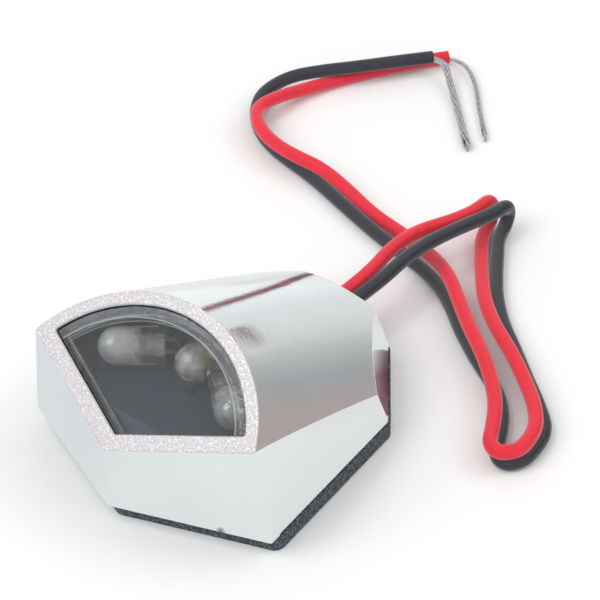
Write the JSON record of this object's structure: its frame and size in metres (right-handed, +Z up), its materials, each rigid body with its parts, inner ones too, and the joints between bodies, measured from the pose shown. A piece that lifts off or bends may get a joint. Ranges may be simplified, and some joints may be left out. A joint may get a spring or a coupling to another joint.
{
  "type": "number plate lamp",
  "caption": "Self-adhesive number plate lamp: faceted chrome shell, sloped fan-shaped lens over LEDs, foam pad underneath, and red and black lead wires from the back.",
  "frame": {"origin": "middle of the foam pad's adhesive face, under the housing's middle", "axes": "+Z up from the adhesive face, the lens faces -Y, the leads leave towards +Y, +X to the right of someone looking at the lens"},
  "size_m": [0.0811, 0.1108, 0.0235],
  "materials": {
    "chrome_plate": "bright chrome plating on moulded plastic, with a satin flake on the lens frame",
    "clear_lens": "clear polished plastic",
    "black_plastic": "black moulded plastic, lightly textured",
    "board_laminate": "green solder resist on glass laminate",
    "chip_ceramic": "dark glaze with tinned end caps",
    "diode_resin": "dull black resin",
    "solder": "bright tin solder",
    "led_resin": "clear cast resin",
    "led_metal": "tinned steel",
    "led_phosphor": "yellow phosphor gel",
    "pad_foam": "charcoal closed-cell adhesive foam",
    "grommet_rubber": "dull black rubber",
    "red_pvc": "red wire insulation",
    "black_pvc": "black wire insulation",
    "tinned_copper": "tinned copper strands"
  },
  "bodies": {
    "root": {"housing": "chrome_plate", "lens": "clear_lens", "led_holder": "black_plastic", "base_plate": "black_plastic", "circuit_board": "board_laminate", "chip_resistors": "chip_ceramic", "polarity_diode": "diode_resin", "solder_joints": "solder", "foam_pad": "pad_foam", "cable_grommet": "grommet_rubber", "red_lead": "red_pvc", "black_lead": "black_pvc", "red_strands": "tinned_copper", "black_strands": "tinned_copper", "led_left": "led_resin", "led_left_frame": "led_metal", "led_left_phosphor": "led_phosphor", "led_centre": "led_resin", "led_centre_frame": "led_metal", "led_centre_phosphor": "led_phosphor", "led_right": "led_resin", "led_right_frame": "led_metal", "led_right_phosphor": "led_phosphor"}
  },
  "joints": []
}
